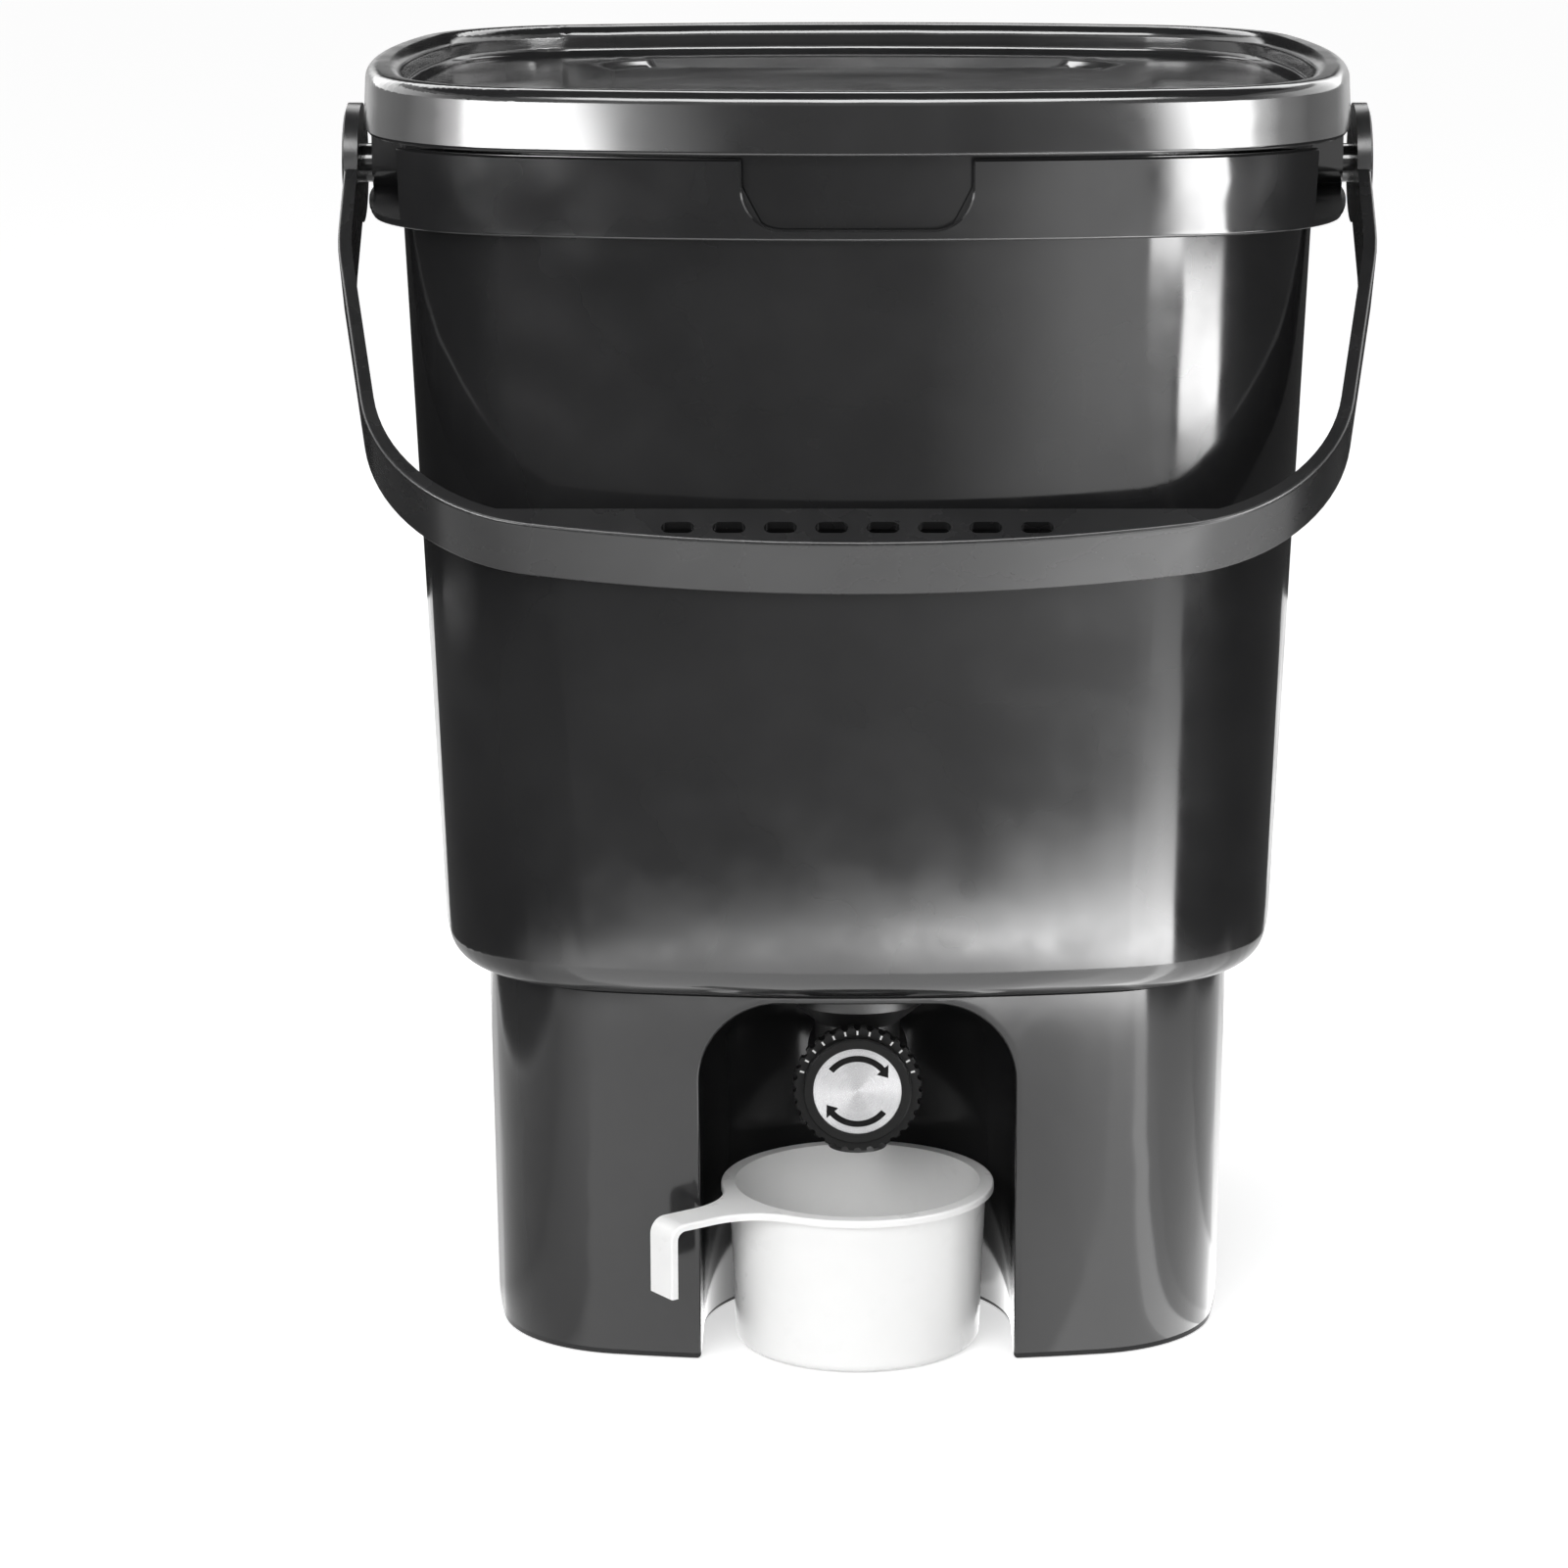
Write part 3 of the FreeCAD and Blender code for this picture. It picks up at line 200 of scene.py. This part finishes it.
# Tap body: neck, barrel and spout in one satin black moulding. Its tail goes up through the stand and
# the bucket's floor, and is held by a nut.
satin_black = moulded_plastic(
    "satin_black",
    dark=(0.012, 0.012, 0.012),
    pale=(0.019, 0.019, 0.019),
    polish=(0.3, 0.42),
    wave_depth=0.0002,
    grain_depth=0.000004,
)
dress("tap_body", satin_black)
dress("tap_nut", satin_black)

# Washers and rings: soft black rubber, cut or moulded, matt with a bloom of fine dust. They seal the
# floor round the tap's tail, the plug in its barrel and the lid on the bucket's rim.


def soft_rubber(name):
    """Matt rubber with a dusty bloom."""
    material, tree, shader, place = blank_material(name)
    bloom = noise(tree, place, scale=220.0, detail=7.0)
    dusty = shades(tree, bloom, dark=(0.02, 0.02, 0.02), pale=(0.04, 0.04, 0.039))
    tree.links.new(dusty, shader.inputs["Base Color"])
    tree.links.new(spread(tree, bloom, low=0.65, high=0.85), shader.inputs["Roughness"])
    grain = noise(tree, place, scale=1800.0, detail=3.0)
    tree.links.new(relief(tree, grain, depth=0.00001), shader.inputs["Normal"])
    return material


black_rubber = soft_rubber("black_rubber")
for seal in ("tap_outer_washer", "tap_inner_washer", "plug_o_rings", "lid_seal"):
    dress(seal, black_rubber)

# Tap plug: the turning plug with its cross port, satin black plastic, kept in the barrel by a spring
# steel clip at the back and driving the knob by a square at the front.
dress("tap_plug", satin_black)
dress("plug_clip", bright_steel)

# Knob: the turning knob with a toothed flange, moulded in dull black plastic. It is pushed on the plug's
# square and held by a plain steel screw.
dull_black = moulded_plastic(
    "dull_black",
    dark=(0.006, 0.006, 0.006),
    pale=(0.01, 0.01, 0.01),
    polish=(0.3, 0.42),
    wave_depth=0.0001,
    grain_depth=0.000004,
    shine_index=1.16,
)
dress("tap_knob", dull_black)
dress("knob_screw", bright_steel)

# Knob plate: a thin aluminium disc, stamped out and brushed in circles. It is glued into the knob's front,
# over the screw.


def turned_aluminium(name, centre_x, centre_z):
    """Aluminium brushed round its centre, so that light spreads in a bow tie."""
    material, tree, shader, place = blank_material(name)
    apart = tree.nodes.new("ShaderNodeVectorMath")
    apart.operation = "SUBTRACT"
    apart.inputs[1].default_value = (centre_x, 0.0, centre_z)
    tree.links.new(place, apart.inputs[0])
    level = tree.nodes.new("ShaderNodeVectorMath")
    level.operation = "MULTIPLY"
    level.inputs[1].default_value = (1.0, 0.0, 1.0)
    tree.links.new(apart.outputs["Vector"], level.inputs[0])
    radius = tree.nodes.new("ShaderNodeVectorMath")
    radius.operation = "LENGTH"
    tree.links.new(level.outputs["Vector"], radius.inputs[0])
    rings = tree.nodes.new("ShaderNodeTexNoise")
    rings.noise_dimensions = "1D"
    rings.inputs["Scale"].default_value = 9000.0
    rings.inputs["Detail"].default_value = 4.0
    tree.links.new(radius.outputs["Value"], rings.inputs["W"])
    brushed = shades(tree, rings.outputs["Fac"], dark=(0.2, 0.2, 0.203), pale=(0.27, 0.27, 0.273))
    tree.links.new(brushed, shader.inputs["Base Color"])
    tree.links.new(spread(tree, rings.outputs["Fac"], low=0.22, high=0.36), shader.inputs["Roughness"])
    shader.inputs["Metallic"].default_value = 1.0
    shader.inputs["Anisotropic"].default_value = 0.85
    shader.inputs["Anisotropic Rotation"].default_value = 0.25
    tangent = tree.nodes.new("ShaderNodeTangent")
    tangent.direction_type = "RADIAL"
    tangent.axis = "Y"
    tree.links.new(tangent.outputs["Tangent"], shader.inputs["Tangent"])
    return material


disc_low, disc_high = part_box("knob_disc")
disc_middle = (disc_low + disc_high) / 2
dress("knob_disc", turned_aluminium("turned_aluminium", disc_middle.x, disc_middle.z))

# Marks on the knob: two turning arrows in black screen print on the plate, and a row of short white marks on
# the upper half of the toothed flange round it, which are painted highlights standing in for the glints of
# light on its teeth. Films a few hundredths of a millimetre thick.


def ink_and_painted_glint(name, dark, pale):
    """Dull printing colour with a slightly patchy film, also used for the white painted highlights on the
    knob's teeth.
    """
    material, tree, shader, place = blank_material(name)
    film = noise(tree, place, scale=700.0, detail=5.0)
    tree.links.new(shades(tree, film, dark, pale), shader.inputs["Base Color"])
    tree.links.new(spread(tree, film, low=0.4, high=0.6), shader.inputs["Roughness"])
    shader.inputs["IOR"].default_value = 1.12
    grain = noise(tree, place, scale=4000.0, detail=2.0)
    tree.links.new(relief(tree, grain, depth=0.000004), shader.inputs["Normal"])
    return material


def print_and_glint_marks(name, outlines, face_y, film, material):
    """Flat marks on an upright face, drawn as outlines round the knob's middle."""
    shape = bmesh.new()
    for outline in outlines:
        front = [shape.verts.new((disc_middle.x + x, face_y - film, disc_middle.z + z)) for x, z in outline]
        back = [shape.verts.new((disc_middle.x + x, face_y, disc_middle.z + z)) for x, z in outline]
        shape.faces.new(front)
        shape.faces.new(back)
        for i in range(len(front)):
            after = (i + 1) % len(front)
            shape.faces.new((front[i], back[i], back[after], front[after]))
    bmesh.ops.recalc_face_normals(shape, faces=shape.faces)
    mesh = bpy.data.meshes.new(name)
    shape.to_mesh(mesh)
    shape.free()
    mesh.materials.append(material)
    piece = bpy.data.objects.new(name, mesh)
    bpy.context.collection.objects.link(piece)
    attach(piece, "tap")


def around(radius, degrees):
    """Place on a circle round the knob's middle, at an angle from the right."""
    return (radius * math.cos(math.radians(degrees)), radius * math.sin(math.radians(degrees)))


def turning_arrow(start, end, radius, width, head):
    """Outline of an arrow that runs clockwise along an arc, from one angle to a lower one."""
    steps = 24
    point_length = 1.3 * head
    angles = [start + (end - start) * i / steps for i in range(steps + 1)]
    outer = [around(radius + width / 2, angle) for angle in angles]
    inner = [around(radius - width / 2, angle) for angle in reversed(angles)]
    tip = end - math.degrees(point_length / radius)
    point = [around(radius + head, end), around(radius, tip), around(radius - head, end)]
    return outer + point + inner


MARK_FILM = 0.00005
ARROW_RADIUS = 0.0102
ARROW_WIDTH = 0.0019
ARROW_HEAD = 0.0024
ARROW_START = 141.0
ARROW_END = 42.0
arrows = [
    turning_arrow(ARROW_START + turn, ARROW_END + turn, ARROW_RADIUS, ARROW_WIDTH, ARROW_HEAD)
    for turn in (0.0, 180.0)
]
black_ink = ink_and_painted_glint("black_ink", dark=(0.004, 0.004, 0.004), pale=(0.008, 0.008, 0.008))
print_and_glint_marks("knob_arrows", arrows, disc_low.y, MARK_FILM, black_ink)

# The knob's ring stands this far in front of its toothed flange, as in the CAD
KNOB_RING_HEIGHT = 0.003
# White marks on the upper half of the toothed flange, where the light falls: painted highlights that stand
# in for the glints on its teeth
GLINT_INNER = 0.0169
GLINT_OUTER = 0.0182
GLINT_HALF_ANGLE = 0.9
FIRST_GLINT = 18.0
GLINT_STEP = 12.0
GLINT_COUNT = 13
painted_glints = [
    [
        around(GLINT_INNER, angle - GLINT_HALF_ANGLE),
        around(GLINT_OUTER, angle - GLINT_HALF_ANGLE),
        around(GLINT_OUTER, angle + GLINT_HALF_ANGLE),
        around(GLINT_INNER, angle + GLINT_HALF_ANGLE),
    ]
    for angle in [FIRST_GLINT + GLINT_STEP * i for i in range(GLINT_COUNT)]
]
flange_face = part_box("tap_knob")[0].y + KNOB_RING_HEIGHT
# The white film is a painted highlight, not print
painted_glint_white = ink_and_painted_glint("painted_glint_white", dark=(0.7, 0.7, 0.69), pale=(0.8, 0.8, 0.79))
print_and_glint_marks("knob_painted_glints", painted_glints, flange_face, MARK_FILM, painted_glint_white)

# Strainer: the slotted plate on legs that keeps the scraps above the liquid, satin black plastic. It
# lies loose in the bucket.
dress("strainer", satin_black)

# Lid: the flat lid with a rounded rim and a sunk panel, in the bucket's glossy black plastic. It
# presses down over the bucket's rim, on a soft seal.
dress("lid", gloss_black)

# Handle: the swing handle, one black moulding with a satin face, so that hands don't mark it. Its hubs
# are sprung over the studs on the bucket.
satin_black_handle = moulded_plastic(
    "satin_black_handle",
    dark=(0.014, 0.014, 0.0145),
    pale=(0.021, 0.021, 0.0215),
    polish=(0.22, 0.32),
    wave_depth=0.0002,
    grain_depth=0.000002,
    shine_index=1.38,
)
dress("handle", satin_black_handle)

# Drip cup: the cup that catches the liquid, moulded in satin white plastic with a strap handle. It stands
# loose under the spout.


def white_plastic(name):
    """Milky white moulded plastic with a satin face."""
    material, tree, shader, place = blank_material(name)
    cloud = noise(tree, place, scale=30.0, detail=4.0)
    milky = shades(tree, cloud, dark=(0.92, 0.92, 0.914), pale=(0.95, 0.95, 0.945))
    tree.links.new(milky, shader.inputs["Base Color"])
    rubbed = noise(tree, place, scale=90.0, detail=6.0)
    tree.links.new(spread(tree, rubbed, low=0.25, high=0.38), shader.inputs["Roughness"])
    grain = noise(tree, place, scale=2200.0, detail=2.0)
    tree.links.new(relief(tree, grain, depth=0.000003), shader.inputs["Normal"])
    shader.inputs["IOR"].default_value = 1.2
    shader.inputs["Subsurface Weight"].default_value = 0.15
    shader.inputs["Subsurface Radius"].default_value = (0.004, 0.004, 0.004)
    return material


dress("drip_cup", white_plastic("white_plastic"))

# Studio: a plain pale floor and backdrop, soft lamps, and graded reflector cards that only show in gloss:
# rings round the caddy at five heights, a patch on the floor, and soft boxes high in front and behind.


def sheet_of(name, rows, glow=None):
    """Sheet through rows of points, with a glow at each point where given."""
    across = len(rows[0])
    points = [point for row in rows for point in row]
    faces = []
    for r in range(len(rows) - 1):
        for c in range(across - 1):
            first = r * across + c
            faces.append((first, first + 1, first + across + 1, first + across))
    mesh = bpy.data.meshes.new(name)
    mesh.from_pydata(points, [], faces)
    if glow:
        values = [value for row in glow for value in row]
        mesh.attributes.new("glow", "FLOAT", "POINT").data.foreach_set("value", values)
    sheet = bpy.data.objects.new(name, mesh)
    bpy.context.collection.objects.link(sheet)
    return sheet


def reflector(name, rows, glow):
    """Card that only shows in reflections."""
    card = sheet_of(name, rows, glow)
    card.visible_camera = False
    card.visible_diffuse = False
    card.visible_transmission = False
    card.visible_volume_scatter = False
    card.visible_shadow = False
    material = bpy.data.materials.new(name)
    material.use_nodes = True
    tree = material.node_tree
    tree.nodes.remove(tree.nodes["Principled BSDF"])
    level = tree.nodes.new("ShaderNodeAttribute")
    level.attribute_name = "glow"
    light = tree.nodes.new("ShaderNodeEmission")
    tree.links.new(level.outputs["Fac"], light.inputs["Strength"])
    tree.links.new(light.outputs["Emission"], tree.nodes["Material Output"].inputs["Surface"])
    card.data.materials.append(material)


def polar(distance, degrees, z):
    """Point round the caddy at an angle from the front towards the right."""
    angle = math.radians(degrees)
    return (distance * math.sin(angle), -distance * math.cos(angle), z)


RING_DISTANCE = 0.85
RING_STEP = 4
DARK = 0.02


def ring_of_cards(name, stops, low, high):
    """Upright ring of cloth round the caddy.

    Each stop is an angle from the front and the glow there, and the glow runs evenly between stops.
    """
    angles = []
    levels = []
    for (first, glow_first), (last, glow_last) in zip(stops, stops[1:]):
        steps = max(1, round((last - first) / RING_STEP))
        for i in range(steps):
            angles.append(first + (last - first) * i / steps)
            levels.append(glow_first + (glow_last - glow_first) * i / steps)
    angles.append(stops[-1][0])
    levels.append(stops[-1][1])
    rows = [[polar(RING_DISTANCE, angle, z) for angle in angles] for z in (low, high)]
    reflector(name, rows, [levels, levels])


def mirrored(stops):
    """The same stops at the left, for the stops of a right half."""
    return [(-angle, glow) for angle, glow in reversed(stops)]


# What the lid's rounded rim mirrors: pale cloth high up at the sides, and dark cloth behind
side_cloth = [(60, 1.0), (90, 4.0), (150, 4.0), (162, DARK), (180, DARK)]
ring_of_cards("upper_ring", mirrored(side_cloth) + side_cloth, low=0.46, high=0.84)

# What the lid's skirt mirrors: a soft box at each side of the front, paler towards the back
skirt_sides = [(56, 32.0), (62, 12.0), (76, 3.5), (96, 1.3), (130, 0.7), (180, 0.7)]
left_front = [(-27, 32.0), (-22, 4.0), (-12, 0.5)]
right_front = [(12, 0.5), (27, 1.5), (33, 32.0)]
middle_stops = mirrored(skirt_sides) + left_front + right_front + skirt_sides
ring_of_cards("middle_ring", middle_stops, low=0.3, high=0.46)

# What the apron and the bucket's wall mirror: a dim front, tall lit strips at the right that stop above the
# handle, and dark cloth behind
dim_front = [(-180, DARK), (-80, DARK), (-60, 0.1), (-20, 0.2), (6, 0.4)]
apron_strips = [(12, 0.8), (20, 2.4), (27, 2.4), (28, 0.8), (30, 0.8), (31, 28.0), (45, 28.0), (47, 0.4)]
wall_strips = [(14, 1.2), (21, 2.6), (43, 2.8), (44, 1.0), (46, 1.0), (47, 25.0), (66, 25.0), (68, 0.4)]
foot_strips = [(14, 1.2), (21, 2.0), (43, 2.0), (46, 0.6), (66, 0.6), (68, 0.3)]
dark_back = [(84, 0.1), (180, DARK)]
ring_of_cards("apron_ring", dim_front + apron_strips + dark_back, low=0.2, high=0.3)
ring_of_cards("wall_ring", dim_front + wall_strips + dark_back, low=0.125, high=0.2)
ring_of_cards("foot_ring", dim_front + foot_strips + dark_back, low=0.06, high=0.125)

# What the stand, the handle and the foot of the bucket mirror: the lit floor close by, and a bright patch
# further out in front that fades away from the caddy, fast at the left and slowly at the right, where it
# ends sharply. Each direction has its angle, near glow, far glow, and the patch's peak and length of fade.
NEAR_FLOOR = 0.03
PATCH_START = 0.484
PATCH_EDGE = 0.012
PATCH_FIRST_STEP = 0.004
PATCH_STEP_GROWTH = 1.17
PATCH_STEPS = 36
PATCH_HEIGHT = 0.0015
floor_directions = [
    (-150, 0.6, 0.1, 0.0, 0.01),
    (-60, 1.2, 0.1, 4.0, 0.01),
    (-40, 3.0, 0.1, 7.0, 0.01),
    (-17, 3.0, 0.4, 12.0, 0.012),
    (-2, 3.0, 0.5, 24.0, 0.012),
    (12, 3.0, 0.8, 32.0, 0.022),
    (23, 3.4, 1.3, 36.0, 0.042),
    (30, 5.2, 1.7, 32.0, 0.075),
    (44, 5.2, 2.2, 27.0, 0.11),
    (46, 8.0, 2.2, 27.0, 0.11),
    (52.5, 8.0, 2.2, 27.0, 0.11),
    (53.5, 4.0, 0.2, 0.0, 0.11),
    (60, 3.2, 0.2, 0.0, 0.11),
    (90, 1.6, 0.1, 0.0, 0.11),
    (150, 0.6, 0.1, 0.0, 0.01),
]
patch_steps = [PATCH_FIRST_STEP * PATCH_STEP_GROWTH**i for i in range(PATCH_STEPS)]
floor_distances = [NEAR_FLOOR, PATCH_START] + [PATCH_START + PATCH_EDGE + step for step in patch_steps]


def floor_glow(distance, near, far, peak, fade):
    """Glow of the floor at a distance from the caddy, in one direction."""
    if distance <= PATCH_START:
        return near
    return far + peak * math.exp((PATCH_START + PATCH_EDGE - distance) / fade)


reflector(
    "floor_patch",
    [
        [polar(distance, angle, PATCH_HEIGHT) for angle, *_ in floor_directions]
        for distance in floor_distances
    ],
    [
        [floor_glow(distance, *glow) for angle, *glow in floor_directions]
        for distance in floor_distances
    ],
)

# What the rounded edges mirror: a soft box high in front, one high behind, and dark cloth between them
for name, glow, half_width, front_edge, back_edge in (
    ("front_soft_box", 18.0, 0.6, (-1.2, 0.95), (-0.85, 1.35)),
    ("overhead_cloth", DARK, 1.2, (-0.85, 1.4), (0.7, 1.5)),
    ("back_soft_box", 5.0, 0.9, (0.75, 1.45), (2.0, 1.45)),
):
    rows = [[(-half_width, y, z), (half_width, y, z)] for y, z in (front_edge, back_edge)]
    reflector(name, rows, [[glow, glow], [glow, glow]])

# Floor and backdrop: pale paper, lifted to white where it is seen, with no more light on the caddy
FLOOR_HALF = 9.0
FLOOR_Z = -0.0004
FLOOR_LIFT = 0.57
AIR_LIGHT = 0.5
AIR_SEEN = 1.0
floor = sheet_of(
    "floor",
    [[(x, y, FLOOR_Z) for x in (-FLOOR_HALF, FLOOR_HALF)] for y in (-FLOOR_HALF, FLOOR_HALF)],
)


def seen_directly(tree):
    """One for the rays that come from the camera, from gloss or through glass, and nought for the others."""
    ray = tree.nodes.new("ShaderNodeLightPath")
    seen = ray.outputs["Is Camera Ray"]
    for other in ("Is Glossy Ray", "Is Transmission Ray"):
        either = tree.nodes.new("ShaderNodeMath")
        either.operation = "MAXIMUM"
        tree.links.new(seen, either.inputs[0])
        tree.links.new(ray.outputs[other], either.inputs[1])
        seen = either.outputs["Value"]
    return seen


floor_paper = bpy.data.materials.new("floor_paper")
floor_paper.use_nodes = True
paper_tree = floor_paper.node_tree
paper_tree.nodes.remove(paper_tree.nodes["Principled BSDF"])
paper = paper_tree.nodes.new("ShaderNodeBsdfDiffuse")
paper.inputs["Color"].default_value = (0.8, 0.8, 0.8, 1.0)
lift = paper_tree.nodes.new("ShaderNodeEmission")
lift.inputs["Strength"].default_value = FLOOR_LIFT
lifted = paper_tree.nodes.new("ShaderNodeAddShader")
seen = paper_tree.nodes.new("ShaderNodeMixShader")
paper_tree.links.new(paper.outputs["BSDF"], lifted.inputs[0])
paper_tree.links.new(lift.outputs["Emission"], lifted.inputs[1])
paper_tree.links.new(seen_directly(paper_tree), seen.inputs["Fac"])
paper_tree.links.new(paper.outputs["BSDF"], seen.inputs[1])
paper_tree.links.new(lifted.outputs["Shader"], seen.inputs[2])
paper_tree.links.new(seen.outputs["Shader"], paper_tree.nodes["Material Output"].inputs["Surface"])
floor.data.materials.append(floor_paper)

world = bpy.data.worlds.new("studio")
bpy.context.scene.world = world
world.use_nodes = True
air = world.node_tree
backdrop = air.nodes["Background"]
backdrop.inputs["Color"].default_value = (1.0, 1.0, 1.0, 1.0)
strength = air.nodes.new("ShaderNodeMapRange")
strength.inputs["To Min"].default_value = AIR_LIGHT
strength.inputs["To Max"].default_value = AIR_SEEN
air.links.new(seen_directly(air), strength.inputs["Value"])
air.links.new(strength.outputs["Result"], backdrop.inputs["Strength"])


def hang(lamp, place, aim):
    """Hangs a lamp at a place, turned to face a point, so that it shows in no reflection."""
    hung = bpy.data.objects.new(lamp.name, lamp)
    bpy.context.collection.objects.link(hung)
    hung.location = place
    facing = Vector(aim) - Vector(place)
    hung.rotation_euler = facing.to_track_quat("-Z", "Y").to_euler()
    hung.visible_glossy = False


def soft_lamp(name, size, watts):
    """Square soft lamp."""
    lamp = bpy.data.lights.new(name, "AREA")
    lamp.shape = "SQUARE"
    lamp.size = size
    lamp.energy = watts
    return lamp


hang(soft_lamp("top_lamp", size=1.4, watts=12.0), place=(0.0, -0.2, 1.7), aim=(0.0, 0.0, 0.2))
hang(soft_lamp("front_lamp", size=0.9, watts=12.0), place=(-0.5, -1.5, 0.9), aim=(0.0, 0.0, 0.1))

# A narrow spot that reaches into the alcove and lights the cup
alcove_lamp = bpy.data.lights.new("alcove_lamp", "SPOT")
alcove_lamp.energy = 11.0
alcove_lamp.spot_size = math.radians(11)
alcove_lamp.spot_blend = 1.0
alcove_lamp.shadow_soft_size = 0.15
hang(alcove_lamp, place=(0.25, -1.1, 0.5), aim=(0.0, -0.08, 0.05))

# Camera: a long lens in front of the caddy and a little above it, as in the photograph. The shift puts
# the caddy's middle on the same line of the picture.
PHOTO_WIDTH = 1601
MIDDLE_LINE = 875.5
CAMERA_PLACE = (0.0, -1.564, 0.512)
CAMERA_TILT = 77.17
camera_data = bpy.data.cameras.new("camera")
camera_data.lens = 115.2
camera_data.sensor_width = 36.0
camera_data.shift_x = (PHOTO_WIDTH / 2 - MIDDLE_LINE) / PHOTO_WIDTH
camera = bpy.data.objects.new("camera", camera_data)
bpy.context.collection.objects.link(camera)
camera.location = CAMERA_PLACE
camera.rotation_euler = (math.radians(CAMERA_TILT), 0.0, 0.0)
bpy.context.scene.camera = camera
bpy.context.scene.view_settings.view_transform = "Standard"
